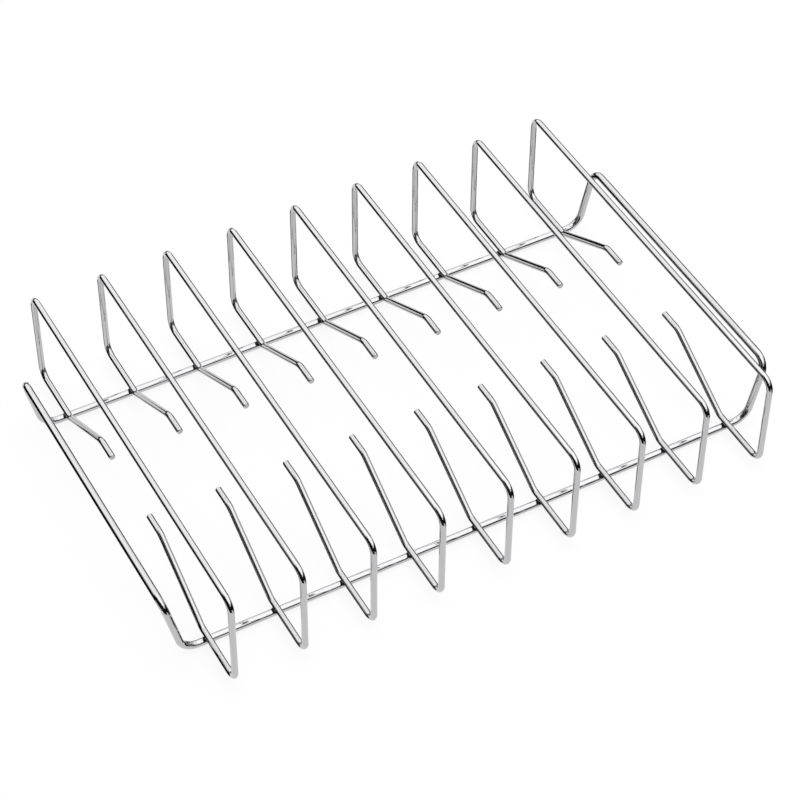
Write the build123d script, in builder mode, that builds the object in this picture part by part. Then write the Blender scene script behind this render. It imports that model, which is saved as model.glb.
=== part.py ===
from build123d import *
from math import radians, tan
import os

# Rib rack of welded wire: a ring-shaped base frame carries nine upright hoops, whose
# prongs slope up towards the middle and hold slabs of ribs on edge between the hoops.
# +X runs along the rack, +Y to the back, +Z up, with the rails' underside at z = 0.
os.makedirs("parts", exist_ok=True)

# Wires, in millimetres
frame_wire = 5.0       # diameter of the base ring's wire
hoop_wire = 4.2        # diameter of the hoops' wire
weld_set_down = 0.3    # depth to which a weld presses a hoop into its rail

# Row of hoops
hoop_count = 9
hoop_pitch = 46.5      # from one hoop to the next, along the rails

# Base ring
frame_width = 210.0    # between the rails' centre lines
rail_overrun = 5.5     # straight rail past the last hoop, before the upward bend
end_rise = 46.5        # from a rail's centre line up to an end bar's
end_lean = 12.5        # degrees by which the ring's ends lean outward
kick_radius = 13.0     # bend from a rail into an end, on the centre line
corner_radius = 9.5    # bend from an end into its end bar, on the centre line

# Hoop, on its centre line
foot_reach = 39.0      # from a rail out to the upright leg
leg_height = 71.0      # from the feet up to the top bar
top_radius = 8.0       # bend between leg and top bar
heel_radius = 8.0      # bend between leg and foot
knee_inset = 6.5       # from a rail in to where the prong turns up
knee_radius = 10.0     # bend between foot and prong
prong_rise = 30.5      # from the feet up to the level tips
tip_length = 16.5      # level end of a prong
tip_radius = 12.0      # bend between prong and tip
tip_gap = 54.5         # between the cut ends that face each other
cut_chamfer = 0.5      # broken edge round the cut ends

# Heights and places that follow
rail_z = frame_wire / 2
foot_z = rail_z + (frame_wire + hoop_wire) / 2 - weld_set_down
rail_y = frame_width / 2
last_hoop_x = hoop_pitch * (hoop_count - 1) / 2
kick_setback = kick_radius * tan(radians(90 - end_lean) / 2)
kick_x = last_hoop_x + rail_overrun + kick_setback
end_x = kick_x + end_rise * tan(radians(end_lean))
end_z = rail_z + end_rise
leg_y = rail_y + foot_reach
knee_y = rail_y - knee_inset
tip_y = tip_gap / 2
hoop_places = [hoop_pitch * index - last_hoop_x for index in range(hoop_count)]


# Half of the ring, swept from the middle of the back rail round to the middle of the
# front rail, then mirrored. Each hoop's foot leaves a shallow seat across both rails.
with BuildPart() as base_frame:
    with BuildLine() as half_ring:
        FilletPolyline(
            (0, rail_y, rail_z),
            (kick_x, rail_y, rail_z),
            (end_x, rail_y, end_z),
            (end_x, -rail_y, end_z),
            (kick_x, -rail_y, rail_z),
            (0, -rail_y, rail_z),
            radius=[kick_radius, corner_radius, corner_radius, kick_radius],
        )
    with BuildSketch(Plane(origin=half_ring.line @ 0, z_dir=half_ring.line % 0)):
        Circle(frame_wire / 2)
    sweep(path=half_ring.line)
    mirror(about=Plane.YZ)
    with BuildSketch(Plane.XZ.offset(-leg_y)):
        with Locations([(x, foot_z) for x in hoop_places]):
            Circle(hoop_wire / 2)
    extrude(amount=2 * leg_y, mode=Mode.SUBTRACT)
base_frame.part.label = "base_frame"
export_step(base_frame.part, "parts/base_frame.step")


def bend_hoop(x):
    """One hoop at x: tip, prong, foot, leg and top bar, then the same back down again."""
    with BuildPart() as hoop:
        with BuildLine() as centre_line:
            front_half = [
                (x, -tip_y, foot_z + prong_rise),
                (x, -tip_y - tip_length, foot_z + prong_rise),
                (x, -knee_y, foot_z),
                (x, -leg_y, foot_z),
                (x, -leg_y, foot_z + leg_height),
            ]
            back_half = [(x, -y, z) for x, y, z in reversed(front_half)]
            bends = [tip_radius, knee_radius, heel_radius, top_radius]
            FilletPolyline(*front_half, *back_half, radius=bends + bends[::-1])
        with BuildSketch(Plane(origin=centre_line.line @ 0, z_dir=centre_line.line % 0)):
            Circle(hoop_wire / 2)
        sweep(path=centre_line.line)
        cut_ends = hoop.faces().filter_by(GeomType.PLANE)
        chamfer(cut_ends.edges(), length=cut_chamfer)
    return hoop


for number, place in enumerate(hoop_places, start=1):
    rib_hoop = bend_hoop(place)
    rib_hoop.part.label = f"rib_hoop_{number}"
    export_step(rib_hoop.part, f"parts/{rib_hoop.part.label}.step")
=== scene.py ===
# %% [markdown]
# # A rib rack of chromed wire
# This lesson dresses a plain CAD model of a rib rack: one ring of thick wire lies on the table
# and nine thinner hoops stand across it, welded on. Everything here is round wire, so almost
# all of the look is in two things: bends that run smoothly, and a mirror finish that shows a
# well arranged studio. The CAD model gives every place and size, and nothing is moved.

# %% Load the fixed frame
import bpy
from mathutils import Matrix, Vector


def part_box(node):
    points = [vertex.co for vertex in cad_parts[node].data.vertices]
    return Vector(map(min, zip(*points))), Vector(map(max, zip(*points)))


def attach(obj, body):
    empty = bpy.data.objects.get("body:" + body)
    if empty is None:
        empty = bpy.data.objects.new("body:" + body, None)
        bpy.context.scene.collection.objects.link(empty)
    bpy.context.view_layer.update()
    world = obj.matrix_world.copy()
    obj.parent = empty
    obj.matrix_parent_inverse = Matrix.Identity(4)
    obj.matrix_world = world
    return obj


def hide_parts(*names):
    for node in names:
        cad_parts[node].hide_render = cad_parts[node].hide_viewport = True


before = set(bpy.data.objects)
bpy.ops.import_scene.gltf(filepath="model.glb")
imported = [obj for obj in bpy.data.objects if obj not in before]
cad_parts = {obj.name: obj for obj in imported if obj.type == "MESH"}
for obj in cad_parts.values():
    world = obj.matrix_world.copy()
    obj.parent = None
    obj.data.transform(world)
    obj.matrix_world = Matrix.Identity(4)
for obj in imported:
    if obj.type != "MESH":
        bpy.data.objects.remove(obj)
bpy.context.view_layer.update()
print(len(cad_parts), "nodes in the frame")

# %% Tools of the lesson
from math import cos, pi, radians, sin, tan

import bpy
from mathutils import Matrix, Vector

mm = 0.001
scene = bpy.context.scene

# %% [markdown]
# ## Measure the frame
# A real rack is made to a drawing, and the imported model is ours. The box around each node gives
# the places of the hoops, the legs, the feet and the top bars. Only what a box can't tell, such
# as the bend radii, is written down here, in the same sizes that the CAD model has.

# %% Places from the nodes' boxes
frame_wire = 5.0 * mm
hoop_wire = 4.2 * mm
hoop_nodes = sorted(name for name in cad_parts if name.startswith("rib_hoop_"))
hoop_boxes = [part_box(name) for name in hoop_nodes]
hoop_places = [(low.x + high.x) / 2 for low, high in hoop_boxes]
hoop_low, hoop_high = hoop_boxes[0]
leg_y = hoop_high.y - hoop_wire / 2
foot_z = hoop_low.z + hoop_wire / 2
top_z = hoop_high.z - hoop_wire / 2
ring_low, ring_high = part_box("base_frame")
rail_y = ring_high.y - frame_wire / 2
rail_z = ring_low.z + frame_wire / 2
end_x = ring_high.x - frame_wire / 2
end_z = ring_high.z - frame_wire / 2
print(len(hoop_nodes), "hoops,", round((hoop_places[1] - hoop_places[0]) / mm, 2), "mm apart")
print("feet at", round(foot_z / mm, 2), "mm, top bars at", round(top_z / mm, 2), "mm")

# %% Bends and prongs, as drawn
end_lean = radians(12.5)      # of both ends of the ring, outward from upright
kick_radius = 13.0 * mm       # bend from a rail into an end; all radii are on the centre line
corner_radius = 9.5 * mm      # bend from an end into its end bar
top_radius = 8.0 * mm         # bend between leg and top bar
heel_radius = 8.0 * mm        # bend between leg and foot
knee_radius = 10.0 * mm       # bend between foot and prong
tip_radius = 12.0 * mm        # bend between prong and tip
knee_inset = 6.5 * mm         # from a rail inward to the knee's corner
prong_rise = 30.5 * mm        # from a foot up to its tip
tip_length = 16.5 * mm        # from the cut end to the corner of the tip's bend
tip_gap = 54.5 * mm           # between the cut ends that face each other
edge_break = 0.5 * mm         # rounded edge of the cut ends
kick_x = end_x - (end_z - rail_z) * tan(end_lean)
knee_y = rail_y - knee_inset
tip_y = tip_gap / 2
print("the ring's ends lean out by", round((end_x - kick_x) / mm, 1), "mm")

# %% [markdown]
# ## Small helpers for node trees
# Geometry and shader trees are both built in the script. These few functions start a tree with
# its named inputs, add a node and feed it, and do one step of arithmetic, so that each tree
# below reads like a list of steps. An input is fed with another node's socket, which makes a
# link, or with a plain value.


# %% Nodes and what feeds them
def feed(tree, target, source):
    """Give an input a link from another node's socket, or a plain value."""
    if isinstance(source, bpy.types.NodeSocket):
        tree.links.new(source, target)
    else:
        target.default_value = source


def node(tree, kind, inputs=None, **settings):
    """Add a node, set its properties, and feed inputs that are given by name or by number."""
    made = tree.nodes.new(kind)
    for key, value in settings.items():
        setattr(made, key, value)
    for key, source in (inputs or {}).items():
        feed(tree, made.inputs[key], source)
    return made


def math_step(tree, operation, *operands, clamp=False):
    """One node of arithmetic with numbers."""
    made = node(tree, "ShaderNodeMath", operation=operation, use_clamp=clamp)
    for target, operand in zip(made.inputs, operands):
        feed(tree, target, operand)
    return made.outputs[0]


def new_group(name, kind, inputs, outputs):
    """A tree with named sockets, each given as (name, type) or (name, type, starting value)."""
    tree = bpy.data.node_groups.new(name, kind)
    for in_out, sockets in (("INPUT", inputs), ("OUTPUT", outputs)):
        for title, value_kind, *start in sockets:
            socket = tree.interface.new_socket(
                title, in_out=in_out, socket_type="NodeSocket" + value_kind)
            if start:
                socket.default_value = start[0]
    given = node(tree, "NodeGroupInput").outputs
    result = node(tree, "NodeGroupOutput").inputs
    return tree, given, result


print("helpers:", [helper.__name__ for helper in (feed, node, math_step, new_group)])

# %% [markdown]
# ## Chrome on drawn wire
# The real finish is a thin chromium plate over steel wire that was pulled through a die. It
# mirrors the room, with small faults that tell the eye it is metal and not a computer's mirror:
# faint lines along the wire from the die, a slight waviness, and a dull halo where the heat of a
# weld reached. Right in the crevice of each weld the tint is painted nearly black. That is
# painted shade for the dark corner between the wires. A picture of scratches would need
# unwrapping. Instead each wire stores where a point is along and round it, and noise that is
# stretched in those two directions follows every bend.

# %% Die lines and waves
lines_per_metre = 25.0    # how often a line changes along the wire
line_detail = 2.0
waves_round = 0.8         # how fast a wave changes round the wire
wave_detail = 1.0


def stretched_noise(tree, across, along, detail):
    """Noise over the place on a wire, stretched differently round it and along it."""
    place = node(tree, "ShaderNodeAttribute", attribute_name="wire_place").outputs["Vector"]
    parts = node(tree, "ShaderNodeSeparateXYZ", {"Vector": place}).outputs
    stretched = node(tree, "ShaderNodeCombineXYZ", {
        "X": math_step(tree, "MULTIPLY", parts["X"], across),
        "Y": math_step(tree, "MULTIPLY", parts["Y"], across),
        "Z": math_step(tree, "MULTIPLY", parts["Z"], along),
    }).outputs["Vector"]
    noise = node(tree, "ShaderNodeTexNoise", {"Vector": stretched, "Scale": 1.0, "Detail": detail})
    return noise.outputs["Fac"]


def wire_height(tree, given):
    """Fine lines that run far along the wire, plus a slow waviness."""
    lines = stretched_noise(tree, given["Line Fineness"], lines_per_metre, line_detail)
    waves = stretched_noise(tree, waves_round, given["Waves Per Metre"], wave_detail)
    line_height = math_step(tree, "MULTIPLY", lines, given["Line Depth"])
    wave_height = math_step(tree, "MULTIPLY", waves, given["Wave Depth"])
    return math_step(tree, "ADD", line_height, wave_height)


print("a die line fades over about", round(1000 / lines_per_metre), "mm")

# %% Dull places and painted crevice shade
specks_per_metre = 900.0
speckle_share = 0.2       # of the specks in the sum with the halo, for a ragged crevice edge
crevice_edge = 0.4        # sum at which the painted crevice shade begins
crevice_full = 0.5        # sum from which it is complete
cut_dullness = 0.7        # of a sheared end, where 1 is as dull as plating gets


def wear_and_shade_masks(tree):
    """Two masks: where the plating is dull, and where a weld's crevice gets painted shade."""
    halo = node(tree, "ShaderNodeAttribute", attribute_name="weld_halo").outputs["Fac"]
    cut = node(tree, "ShaderNodeAttribute", attribute_name="cut_face").outputs["Fac"]
    where = node(tree, "ShaderNodeTexCoord").outputs["Object"]
    speckle = node(tree, "ShaderNodeTexNoise", {"Vector": where, "Scale": specks_per_metre})
    speckle = speckle.outputs["Fac"]
    spotty_halo = math_step(tree, "MULTIPLY", halo, speckle)
    dull_cut = math_step(tree, "MULTIPLY", cut, cut_dullness)
    dull = math_step(tree, "MAXIMUM", spotty_halo, dull_cut, clamp=True)
    ragged = math_step(tree, "MULTIPLY", speckle, speckle_share)
    crevice = node(tree, "ShaderNodeMapRange", {
        "Value": math_step(tree, "ADD", halo, ragged),
        "From Min": crevice_edge,
        "From Max": crevice_full,
    }, interpolation_type="SMOOTHSTEP")
    return dull, crevice.outputs["Result"]


print("specks are about", round(1000 / specks_per_metre, 1), "mm wide")


# %% The shared group of wire faults and painted crevice shade
def build_wire_flaws_and_shade():
    """Group that puts out a height, a roughness and a tint; the tint holds painted shade at welds."""
    tree, given, result = new_group("drawn_wire_faults", "ShaderNodeTree", [
        ("Line Fineness", "Float", 9.0),
        ("Line Depth", "Float", 0.1),
        ("Waves Per Metre", "Float", 70.0),
        ("Wave Depth", "Float", 1.0),
        ("Clean Roughness", "Float", 0.02),
        ("Dull Roughness", "Float", 0.3),
        ("Crevice Roughness", "Float", 0.5),
        ("Clean Tint", "Color", (0.51, 0.51, 0.52, 1)),
        ("Dull Tint", "Color", (0.42, 0.40, 0.37, 1)),
        # Nearly black: painted shade for the corner between welded wires.
        ("Crevice Tint", "Color", (0.02, 0.019, 0.018, 1)),
    ], [("Height", "Float"), ("Roughness", "Float"), ("Tint", "Color")])
    feed(tree, result["Height"], wire_height(tree, given))
    dull, crevice = wear_and_shade_masks(tree)
    for what, value_kind in (("Roughness", "FLOAT"), ("Tint", "RGBA")):
        plate = node(tree, "ShaderNodeMix", {
            "Factor": dull,
            "A": given["Clean " + what],
            "B": given["Dull " + what],
        }, data_type=value_kind)
        # Painted shade last: near each weld the crevice mask turns the tint nearly black.
        whole = node(tree, "ShaderNodeMix", {
            "Factor": crevice,
            "A": plate.outputs["Result"],
            "B": given["Crevice " + what],
        }, data_type=value_kind)
        feed(tree, result[what], whole.outputs["Result"])
    return tree


wire_flaws_and_shade = build_wire_flaws_and_shade()
print("group", wire_flaws_and_shade.name, "with", len(wire_flaws_and_shade.nodes), "nodes")

# %% One chrome per wire thickness
bump_distance = 0.02 * mm


def build_chrome(name, line_fineness, waves_per_metre):
    """Mirror-bright metal; the group decides where it is lined, wavy, dull or painted dark as crevice
    shade.
    """
    material = bpy.data.materials.new(name)
    material.use_nodes = True
    tree = material.node_tree
    faults = node(tree, "ShaderNodeGroup", node_tree=wire_flaws_and_shade)
    faults.inputs["Line Fineness"].default_value = line_fineness
    faults.inputs["Waves Per Metre"].default_value = waves_per_metre
    bump = node(tree, "ShaderNodeBump", {
        "Strength": 1.0,
        "Distance": bump_distance,
        "Height": faults.outputs["Height"],
    })
    surface = tree.nodes["Principled BSDF"].inputs
    feed(tree, surface["Metallic"], 1.0)
    feed(tree, surface["Normal"], bump.outputs["Normal"])
    feed(tree, surface["Roughness"], faults.outputs["Roughness"])
    feed(tree, surface["Base Color"], faults.outputs["Tint"])
    return material


ring_chrome = build_chrome("chrome_on_ring_wire", line_fineness=9.0, waves_per_metre=60.0)
hoop_chrome = build_chrome("chrome_on_hoop_wire", line_fineness=8.0, waves_per_metre=75.0)
print("finishes:", ring_chrome.name, "and", hoop_chrome.name)

# %% [markdown]
# ## Where the wires cross
# Each hoop's foot is pressed and welded onto both rails. The eighteen crossings matter three
# times: the squeezed-out metal of a weld sits there, the plating around it is duller, and right
# at it the tint is painted nearly black as shade. They are kept as the points of a small helper
# mesh that two trees read. In the photograph the dark corner shows at the front left of a hoop,
# so the points are pushed a little that way.

# %% Crossing points
rail_top = rail_z + frame_wire / 2
foot_bottom = foot_z - hoop_wire / 2
crossing_z = (rail_top + foot_bottom) / 2
# The push moves the beads and the painted crevice shade to the front left.
flash_and_shade_push = Vector((-0.9, -0.7, -0.3)) * mm
crossings = []
for x in hoop_places:
    for side in (-1, 1):
        crossings.append(Vector((x, side * rail_y, crossing_z)) + flash_and_shade_push)
crossing_mesh = bpy.data.meshes.new("crossings")
crossing_mesh.from_pydata(crossings, [], [])
crossing_points = bpy.data.objects.new("crossings", crossing_mesh)
scene.collection.objects.link(crossing_points)
print(len(crossings), "crossings at", round(crossing_z / mm, 2), "mm above the table")

# %% [markdown]
# ## Wire that is bent, not modelled
# A wire bender feeds straight wire and folds it at given points round a pin. Geometry Nodes can
# do the same: a polyline holds the corners, each with the radius of its pin, Fillet Curve makes
# the bends, and Curve to Mesh gives the line its thickness. The tree also breaks the sharp edge
# of a cut end, as tumbling and plating do. A mesh bevelled by hand would look alike, but here
# every size stays an input that can be changed.


# %% Steps that the trees share
def kept(tree, geometry, value_kind, value):
    """Capture a value on a curve, so that the mesh made from it still has the value."""
    capture = node(tree, "GeometryNodeCaptureAttribute")
    capture.capture_items.new(value_kind, "Kept")
    feed(tree, capture.inputs["Geometry"], geometry)
    feed(tree, capture.inputs["Kept"], value)
    return capture.outputs["Geometry"], capture.outputs["Kept"]


def stored(tree, geometry, name, value, value_kind="FLOAT", domain="POINT"):
    """Write a value on the mesh under a name that a material can read."""
    store = node(tree, "GeometryNodeStoreNamedAttribute", {
        "Geometry": geometry,
        "Name": name,
        "Value": value,
    }, data_type=value_kind, domain=domain)
    return store.outputs["Geometry"]


def painted(tree, geometry, finish):
    """Make instances real and give the mesh its material: the last steps of a tree."""
    real = node(tree, "GeometryNodeRealizeInstances", {"Geometry": geometry})
    paint = node(tree, "GeometryNodeSetMaterial", {
        "Geometry": real.outputs["Geometry"],
        "Material": finish,
    })
    return paint.outputs["Geometry"]


print("shared steps:", [step.__name__ for step in (kept, stored, painted)])


# %% Bends and cut ends
def bent_line(tree, given):
    """Fold the polyline at each corner round a pin of the radius stored there."""
    line = node(tree, "GeometryNodeMeshToCurve", {"Mesh": given["Geometry"]})
    pin = node(tree, "GeometryNodeInputNamedAttribute", {"Name": "pin_radius"}, data_type="FLOAT")
    bends = node(tree, "GeometryNodeFilletCurve", {
        "Curve": line.outputs["Curve"],
        "Radius": pin.outputs["Attribute"],
        "Count": given["Steps In A Bend"],
    }, mode="POLY")
    return bends.outputs["Curve"]


shortest_break = 1e-6 * mm    # so that a wire without cut ends divides by no zero


def end_rounding(tree, run, edge, radius):
    """Scale of the wire's section: one, and less along a quarter circle at each cut end."""
    whole = node(tree, "GeometryNodeSplineLength").outputs["Length"]
    nearest_end = math_step(tree, "MINIMUM", run, math_step(tree, "SUBTRACT", whole, run))
    rounded_run = math_step(tree, "MAXIMUM", edge, shortest_break)
    inside = math_step(tree, "DIVIDE", nearest_end, rounded_run, clamp=True)
    short = math_step(tree, "SUBTRACT", 1.0, inside)
    square = math_step(tree, "MULTIPLY", short, short)
    arc = math_step(tree, "SQRT", math_step(tree, "SUBTRACT", 1.0, square))
    depth = math_step(tree, "DIVIDE", edge, radius)
    lost = math_step(tree, "MULTIPLY", math_step(tree, "SUBTRACT", 1.0, arc), depth)
    return math_step(tree, "SUBTRACT", 1.0, lost)


print("a cut edge is rounded by", round(edge_break / mm, 1), "mm")


# %% The skin of a wire
def wire_skin(tree, given, line):
    """A round mesh along the line, and the place of each point round and along it."""
    radius = math_step(tree, "DIVIDE", given["Wire Diameter"], 2.0)
    section = node(tree, "GeometryNodeCurvePrimitiveCircle", {
        "Resolution": given["Sides"],
        "Radius": radius,
    }).outputs["Curve"]
    position = node(tree, "GeometryNodeInputPosition").outputs["Position"]
    around = node(tree, "ShaderNodeVectorMath", {0: position}, operation="NORMALIZE").outputs["Vector"]
    run = node(tree, "GeometryNodeSplineParameter").outputs["Length"]
    line, along = kept(tree, line, "FLOAT", run)
    section, around = kept(tree, section, "VECTOR", around)
    skin = node(tree, "GeometryNodeCurveToMesh", {
        "Curve": line,
        "Profile Curve": section,
        "Scale": end_rounding(tree, run, given["Edge Break"], radius),
        "Fill Caps": True,
    })
    parts = node(tree, "ShaderNodeSeparateXYZ", {"Vector": around}).outputs
    place = node(tree, "ShaderNodeCombineXYZ", {"X": parts["X"], "Y": parts["Y"], "Z": along})
    return skin.outputs["Mesh"], place.outputs["Vector"]


quad_corners = 4


def wire_marks(tree, given, mesh, place):
    """Store what the chrome reads, and shade all but the flat cut faces smooth."""
    mesh = stored(tree, mesh, "wire_place", place, value_kind="FLOAT_VECTOR")
    welds = node(tree, "GeometryNodeObjectInfo", {"Object": given["Crossings"]},
                 transform_space="ORIGINAL")
    near = node(tree, "GeometryNodeProximity", {"Target": welds.outputs["Geometry"]},
                target_element="POINTS")
    # Nearness to a weld: it sets the dull halo and, closest in, the painted crevice shade.
    reach = math_step(tree, "DIVIDE", near.outputs["Distance"], given["Halo Reach"], clamp=True)
    mesh = stored(tree, mesh, "weld_halo", math_step(tree, "SUBTRACT", 1.0, reach))
    corners = node(tree, "GeometryNodeInputMeshFaceNeighbors").outputs["Vertex Count"]
    is_cut = math_step(tree, "GREATER_THAN", corners, quad_corners)
    mesh = stored(tree, mesh, "cut_face", is_cut, domain="FACE")
    smooth = node(tree, "GeometryNodeSetShadeSmooth", {
        "Geometry": mesh,
        "Shade Smooth": math_step(tree, "SUBTRACT", 1.0, is_cut),
    })
    return smooth.outputs["Geometry"]


print("faces with more than", quad_corners, "corners are cut ends")


# %% The bent wire tree
def build_bent_wire():
    """Tree: a polyline with pin radii becomes a round, smoothly bent wire."""
    tree, given, result = new_group("bent_wire", "GeometryNodeTree", [
        ("Geometry", "Geometry"),
        ("Wire Diameter", "Float", hoop_wire),
        ("Steps In A Bend", "Int", 20),
        ("Sides", "Int", 48),
        ("Edge Break", "Float", 0.0),
        ("Halo Reach", "Float", 5.0 * mm),
        ("Crossings", "Object"),
        ("Finish", "Material"),
    ], [("Geometry", "Geometry")])
    mesh, place = wire_skin(tree, given, bent_line(tree, given))
    mesh = wire_marks(tree, given, mesh, place)
    feed(tree, result["Geometry"], painted(tree, mesh, given["Finish"]))
    return tree


bent_wire = build_bent_wire()
print("tree", bent_wire.name, "with", len(bent_wire.nodes), "nodes")


# %% [markdown]
# ## From a tree to a plain mesh
# A modifier is a recipe, and other programs read only the finished mesh. So each wire is drawn
# as a polyline on a carrier object, the tree runs on it once, and the result is kept as a plain
# mesh at the origin. Applying the modifier by an operator would need a selection and a context,
# and the evaluated copy needs neither. A tree's input is set by its socket's identifier.


# %% Use a tree and keep its result
def use_tree(carrier, tree, **values):
    """Put the tree on an object as a modifier and fill its inputs by their identifiers."""
    modifier = carrier.modifiers.new(tree.name, "NODES")
    modifier.node_group = tree
    for item in tree.interface.items_tree:
        if item.item_type == "SOCKET" and item.in_out == "INPUT":
            key = item.name.lower().replace(" ", "_")
            if key in values:
                modifier[item.identifier] = values[key]


def bake(carrier, name):
    """Turn the evaluated carrier into a plain mesh object and drop the carrier."""
    bpy.context.view_layer.update()
    evaluated = carrier.evaluated_get(bpy.context.evaluated_depsgraph_get())
    mesh = bpy.data.meshes.new_from_object(evaluated)
    mesh.name = name
    piece = bpy.data.objects.new(name, mesh)
    scene.collection.objects.link(piece)
    carrier.modifiers.clear()
    bpy.data.objects.remove(carrier)
    print(name, "has", len(mesh.polygons), "faces")
    return piece


wire_inputs = [item.name for item in bent_wire.interface.items_tree if item.in_out == "INPUT"]
print("inputs of", bent_wire.name + ":", wire_inputs)


# %% Draw a polyline and bend it
def bend_wire(name, corners, pin_radii, closed, **values):
    """A plain mesh of one wire through the corners, each bent round its own pin."""
    edges = [(i, i + 1) for i in range(len(corners) - 1)]
    if closed:
        edges.append((len(corners) - 1, 0))
    drawn = bpy.data.meshes.new(name + "_line")
    drawn.from_pydata(corners, edges, [])
    radii = drawn.attributes.new("pin_radius", "FLOAT", "POINT")
    radii.data.foreach_set("value", pin_radii)
    carrier = bpy.data.objects.new(name + "_line", drawn)
    scene.collection.objects.link(carrier)
    use_tree(carrier, bent_wire, crossings=crossing_points, **values)
    piece = bake(carrier, name)
    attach(piece, "root")
    return piece


print(1 + len(hoop_nodes), "wires to bend")

# %% [markdown]
# ## The base ring
# One length of five-millimetre wire is bent into a ring and closed. Its long sides are the
# rails that stand on the table, and both ends sweep up and lean outward, so that each end bar
# is a handle well clear of hot fat. It is a closed polyline with eight corners. A curve object
# with a bevel would do as well, but the same tree for both wires keeps their skins alike.

# %% Bend the base ring
quarter = [(kick_x, rail_y, rail_z), (end_x, rail_y, end_z)]
right_end = quarter + [(x, -y, z) for x, y, z in reversed(quarter)]
ring_corners = right_end + [(-x, y, z) for x, y, z in reversed(right_end)]
ring_pins = [kick_radius, corner_radius, corner_radius, kick_radius] * 2
ring = bend_wire("base_ring", ring_corners, ring_pins, True,
                 wire_diameter=frame_wire, sides=56, finish=ring_chrome)
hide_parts("base_frame")

# %% [markdown]
# ## The hoops
# Each hoop is one open wire: a level tip, a sloping prong, a foot that is welded down, a leg,
# the top bar, and the same back down. Both cut ends face each other over the middle of the
# rack. An array of one hoop would look the same, but each hoop stands for a node of its own, so
# a loop bends nine. Extra points close to each end let the tree round the cut edge off.

# %% Corners of one hoop
rounding_steps = 5


def hoop_line(x):
    """Corners and pin radii of a hoop, from the front tip to the back tip."""
    tip_z = foot_z + prong_rise
    front = []
    for i in range(rounding_steps + 1):
        depth = edge_break * (1 - cos(pi / 2 * i / rounding_steps))
        front.append((x, -tip_y - depth, tip_z))
    pins = [0.0] * len(front) + [tip_radius, knee_radius, heel_radius, top_radius]
    front += [
        (x, -tip_y - tip_length, tip_z),
        (x, -knee_y, foot_z),
        (x, -leg_y, foot_z),
        (x, -leg_y, top_z),
    ]
    back = [(x, -y, z) for x, y, z in reversed(front)]
    return front + back, pins + pins[::-1]


print("a hoop's line has", len(hoop_line(0)[0]), "points")

# %% Bend the nine hoops
for name, x in zip(hoop_nodes, hoop_places):
    corners, pins = hoop_line(x)
    hoop = bend_wire(name.replace("rib_hoop", "bent_hoop"), corners, pins, False,
                     wire_diameter=hoop_wire, edge_break=edge_break, finish=hoop_chrome)
    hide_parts(name)

# %% [markdown]
# ## Weld flash
# Resistance welding presses hot wire into hot wire, and a little metal is squeezed out into the
# corners between them. Each bead is a flattened, slightly uneven ball in the crossing: most of
# it is buried and only its rim shows, more to the front left, where the points were pushed. The
# bead is painted nearly black. It is partly real flash and partly painted shade for the dark
# corner between the wires.
# Instances of one small ball do it, turned and scaled by random numbers with a fixed seed, so
# that no two are quite alike and every run is the same.

# %% Beads on the crossings
bead_fineness = 4
most_tilt = 0.06
least_turn = (-most_tilt, -most_tilt, 0.0)
most_turn = (most_tilt, most_tilt, 2 * pi)
least_growth = (0.85, 0.85, 0.9)
most_growth = (1.1, 1.1, 1.1)


def random_vector(tree, seed, least, most):
    """A vector that is drawn once for every bead."""
    draw = node(tree, "FunctionNodeRandomValue", {"Min": least, "Max": most, "Seed": seed},
                data_type="FLOAT_VECTOR")
    return draw.outputs["Value"]


def beads_on_points(tree, given):
    """One flattened ball on every crossing, each turned and scaled a little differently."""
    ball = node(tree, "GeometryNodeMeshIcoSphere", {"Subdivisions": bead_fineness, "Radius": 1.0})
    size = node(tree, "ShaderNodeCombineXYZ", {
        "X": given["Bead Radius"],
        "Y": given["Bead Radius"],
        "Z": given["Bead Height"],
    }).outputs["Vector"]
    turn = random_vector(tree, given["Seed"], least_turn, most_turn)
    next_seed = math_step(tree, "ADD", given["Seed"], 1)
    growth = random_vector(tree, next_seed, least_growth, most_growth)
    scale = node(tree, "ShaderNodeVectorMath", {0: size, 1: growth}, operation="MULTIPLY")
    points = node(tree, "GeometryNodeMeshToPoints", {"Mesh": given["Geometry"]})
    beads = node(tree, "GeometryNodeInstanceOnPoints", {
        "Points": points.outputs["Points"],
        "Instance": ball.outputs["Mesh"],
        "Rotation": turn,
        "Scale": scale.outputs["Vector"],
    })
    return beads.outputs["Instances"]


print("a bead leans by", round(most_tilt / radians(1), 1), "degrees at most")

# %% The weld flash tree
lumps_per_metre = 650.0
middle_grey = (0.5, 0.5, 0.5)


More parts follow.
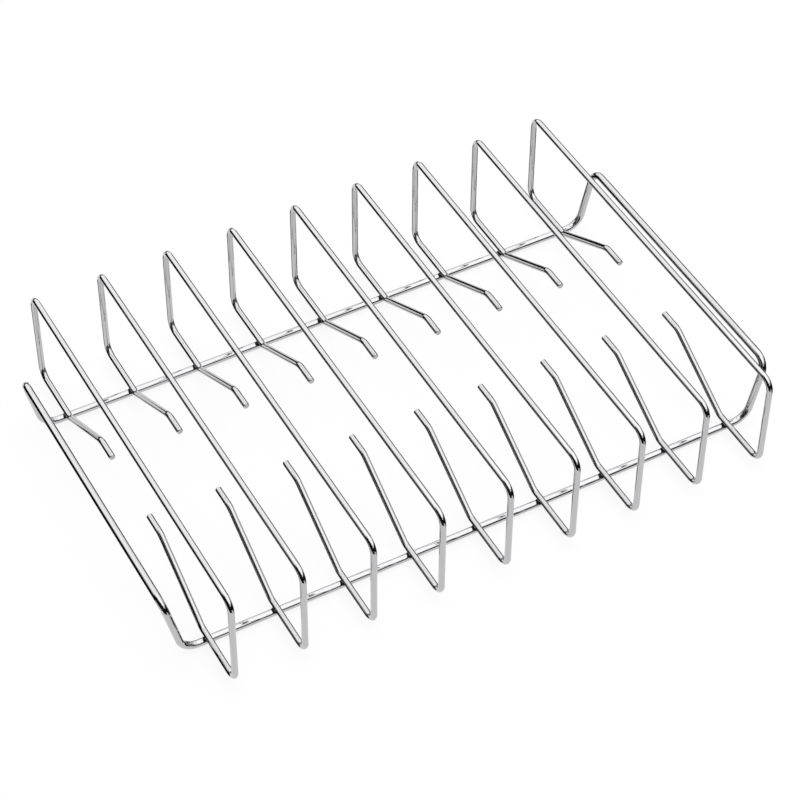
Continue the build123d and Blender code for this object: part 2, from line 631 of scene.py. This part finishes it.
def build_weld_flash():
    """Tree: an uneven flattened bead on every crossing point."""
    tree, given, result = new_group("weld_flash_beads", "GeometryNodeTree", [
        ("Geometry", "Geometry"),
        ("Bead Radius", "Float", 2.6 * mm),
        ("Bead Height", "Float", 0.85 * mm),
        ("Unevenness", "Float", 0.25 * mm),
        ("Seed", "Int", 7),
        ("Finish", "Material"),
    ], [("Geometry", "Geometry")])
    # The beads are made real before the lumps are added, so that no two get the same ones.
    real = node(tree, "GeometryNodeRealizeInstances", {"Geometry": beads_on_points(tree, given)})
    lumps = node(tree, "ShaderNodeTexNoise", {"Scale": lumps_per_metre}).outputs["Color"]
    centred = node(tree, "ShaderNodeVectorMath", {0: lumps, 1: middle_grey}, operation="SUBTRACT")
    push = node(tree, "ShaderNodeVectorMath", {
        0: centred.outputs["Vector"],
        "Scale": given["Unevenness"],
    }, operation="SCALE")
    uneven = node(tree, "GeometryNodeSetPosition", {
        "Geometry": real.outputs["Geometry"],
        "Offset": push.outputs["Vector"],
    }).outputs["Geometry"]
    # Setting the halo to one makes the whole bead dull, and painted nearly black as shade by the
    # crevice mask.
    dull_and_shaded = stored(tree, uneven, "weld_halo", 1.0)
    smooth = node(tree, "GeometryNodeSetShadeSmooth", {"Geometry": dull_and_shaded}).outputs["Geometry"]
    feed(tree, result["Geometry"], painted(tree, smooth, given["Finish"]))
    return tree


flash_beads = build_weld_flash()
print("tree", flash_beads.name, "with", len(flash_beads.nodes), "nodes")

# %% Squeeze the beads out
bead_carrier = bpy.data.objects.new("weld_flash_points", crossing_mesh.copy())
scene.collection.objects.link(bead_carrier)
use_tree(bead_carrier, flash_beads, finish=ring_chrome)
weld_flash = bake(bead_carrier, "weld_flash")
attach(weld_flash, "root")
bpy.data.objects.remove(crossing_points)

# %% [markdown]
# ## A pale table in a white room
# The table is plain and nearly white. Its material mixes a glow into what the camera sees of it,
# so that the ground is white while the rack's soft shadow stays on it. The sheet itself is kept
# out of the wires' mirror images: below the horizon they see the same white room as above it,
# with the black cards in it, and a table this near would mirror as a plain white band instead.
# The room is white for the camera and for mirrors, and a little dimmer where it lights the table.

# %% What is seen and what only lights
table_white = 0.92
glow_share = 0.85         # the rest of the table's look is matt white and takes the shadow
fill_strength = 0.75      # light of the room on matt things
seen_strength = 1.0       # light of the room where it is seen


def seen_directly(tree):
    """One for rays from the camera, off mirrors and through glass, and zero for diffuse ones."""
    rays = node(tree, "ShaderNodeLightPath").outputs
    seen = math_step(tree, "ADD", rays["Is Camera Ray"], rays["Is Glossy Ray"])
    return math_step(tree, "ADD", seen, rays["Is Transmission Ray"], clamp=True)


def build_table_finish():
    """Matt white with a glow mixed into what is seen directly."""
    material = bpy.data.materials.new("white_table")
    material.use_nodes = True
    tree = material.node_tree
    tree.nodes.clear()
    matt = node(tree, "ShaderNodeBsdfDiffuse", {"Color": (table_white, table_white, table_white, 1)})
    glow = node(tree, "ShaderNodeEmission", {"Strength": 1.0})
    mix = node(tree, "ShaderNodeMixShader", {
        0: math_step(tree, "MULTIPLY", seen_directly(tree), glow_share),
        1: matt.outputs[0],
        2: glow.outputs[0],
    })
    node(tree, "ShaderNodeOutputMaterial", {"Surface": mix.outputs[0]})
    return material


def build_room():
    """White world for what is seen directly, and a dimmer fill for matt surfaces."""
    world = bpy.data.worlds.new("studio_room")
    world.use_nodes = True
    tree = world.node_tree
    tree.nodes.clear()
    strength = node(tree, "ShaderNodeMapRange", {
        "Value": seen_directly(tree),
        "To Min": fill_strength,
        "To Max": seen_strength,
    })
    sky = node(tree, "ShaderNodeBackground", {
        "Color": (1, 1, 1, 1),
        "Strength": strength.outputs["Result"],
    })
    node(tree, "ShaderNodeOutputWorld", {"Surface": sky.outputs[0]})
    return world


print("the room lights matt things at", fill_strength, "and is seen at", seen_strength)

# %% Lay the table
scene.world = build_room()
table_half = 4.0
square = ((-1, -1), (1, -1), (1, 1), (-1, 1))
table_mesh = bpy.data.meshes.new("table")
table_mesh.from_pydata([(x * table_half, y * table_half, 0) for x, y in square], [], [(0, 1, 2, 3)])
table_mesh.materials.append(build_table_finish())
table = bpy.data.objects.new("table", table_mesh)
scene.collection.objects.link(table)
table.visible_glossy = False
print("table of", 2 * table_half, "m in", scene.world.name)

# %% [markdown]
# ## Light for a mirror
# Chrome has no colour of its own: it is lit by what it mirrors. Two big soft boxes, one over the
# rack and one behind it, give the wires their bright bodies, and black cards round the table
# draw the dark lines along their edges, as a photographer of cutlery would set them up. A
# straight wire mirrors only a narrow path through the room, so each card serves a few wires. The
# cards behind and at the left draw the line along the hoops, the end bars and the front prongs.
# The front cards draw the one under the rails, and the cards at the right give the fine outlines
# and close the dark bow round each front bend. Several reach below the table's level, because
# the legs and lower edges mirror what lies there.


# %% Soft boxes
def hang_soft_box(name, centre, aim, width, height, radiance):
    """A rectangular lamp of even radiance that the camera doesn't see."""
    lamp = bpy.data.lights.new(name, "AREA")
    lamp.shape = "RECTANGLE"
    lamp.size = width
    lamp.size_y = height
    lamp.energy = radiance * pi * width * height
    box = bpy.data.objects.new(name, lamp)
    box.location = centre
    box.rotation_euler = (Vector(aim) - Vector(centre)).to_track_quat("-Z", "Y").to_euler()
    box.visible_camera = False
    scene.collection.objects.link(box)
    print(name, "of", width, "by", height, "m")


hang_soft_box("soft_box_above", centre=(0.49, -0.495, 1.6), aim=(0.49, -0.495, 0),
              width=2.22, height=2.81, radiance=0.88)
hang_soft_box("soft_box_behind", centre=(0.125, 1.65, 1.575), aim=(0.125, 0, 1.575),
              width=3.95, height=2.35, radiance=0.6)

# %% Black card
card_grey = 0.01
card_distance = 1.9
card_steps = 8
card_black = bpy.data.materials.new("card_black")
card_black.use_nodes = True
card_surface = card_black.node_tree.nodes["Principled BSDF"].inputs
card_surface["Base Color"].default_value = (card_grey, card_grey, card_grey, 1)
card_surface["Specular IOR Level"].default_value = 0.0


def stand_card(name, turns, angles, distance=card_distance):
    """A bent black card between two turns from +X and two angles over the horizon."""
    bottom, top = (distance * tan(radians(angle)) for angle in angles)
    corners = []
    for i in range(card_steps + 1):
        turn = radians(turns[0] + (turns[1] - turns[0]) * i / card_steps)
        x, y = distance * cos(turn), distance * sin(turn)
        corners += [(x, y, bottom), (x, y, top)]
    faces = [(2 * i, 2 * i + 2, 2 * i + 3, 2 * i + 1) for i in range(card_steps)]
    mesh = bpy.data.meshes.new(name)
    mesh.from_pydata(corners, [], faces)
    mesh.materials.append(card_black)
    card = bpy.data.objects.new(name, mesh)
    card.visible_camera = False
    card.visible_diffuse = False
    scene.collection.objects.link(card)
    print(name, "from", turns[0], "to", turns[1], "degrees")


print("cards stand", card_distance, "m from the rack's middle")

# %% Cards behind and at the left
stand_card("card_back_right", turns=(25, 52), angles=(-30, 18))
stand_card("card_behind", turns=(52, 119), angles=(-4, 12))
stand_card("card_back_left", turns=(119, 150), angles=(-50, 22))
stand_card("card_left_low", turns=(150, 162), angles=(-27, 40))
stand_card("card_left", turns=(162, 215), angles=(-14, 58))

# %% Cards in front and at the right
stand_card("card_front_left", turns=(215, 262), angles=(-20, 55))
stand_card("card_front", turns=(262, 276), angles=(-20, 23))
stand_card("card_front_middle", turns=(276, 288), angles=(-2, 23))
stand_card("card_front_right", turns=(288, 303), angles=(-8, 26))
stand_card("card_front_bends", turns=(303, 345), angles=(-30, 25))
stand_card("card_right_low", turns=(345, 371), angles=(-36, 15))
stand_card("card_right", turns=(371, 385), angles=(0, 15))
# A far card looks nearly the same from everywhere on the rack. This low strip is mirrored in
# the right edge of the ring's left end.
stand_card("card_far_low", turns=(325, 365), angles=(-43, -38), distance=7.0)

# %% [markdown]
# ## The camera
# A long lens from the front left, looking down at the rack, because a product picture is taken
# from far away to keep parallel wires nearly parallel. Its place was found by matching the
# rack's corners with a photograph, and the small roll keeps that picture's slight tilt.

# %% Place the camera
camera_turn = radians(-28.8562)
camera_height_angle = radians(46.3342)
camera_roll = radians(0.4231)
camera_distance = 1706.07 * mm
focal_length = 118.349
sensor_width = 36.0
aim_point = Vector((6.12, 5.46, 14.18)) * mm
back = Vector((sin(camera_turn) * cos(camera_height_angle),
               -cos(camera_turn) * cos(camera_height_angle),
               sin(camera_height_angle)))
level = Vector((cos(camera_turn), sin(camera_turn), 0))
upright = back.cross(level)
rightward = level * cos(camera_roll) + upright * sin(camera_roll)
upward = back.cross(rightward)
turned = Matrix((rightward, upward, back)).transposed().to_4x4()
lens = bpy.data.cameras.new("camera")
lens.lens = focal_length
lens.sensor_width = sensor_width
camera = bpy.data.objects.new("camera", lens)
camera.matrix_world = Matrix.Translation(aim_point + back * camera_distance) @ turned
scene.collection.objects.link(camera)
scene.camera = camera
scene.view_settings.view_transform = "Standard"
print("camera", round(camera_distance, 2), "m away, lens of", round(focal_length), "mm")
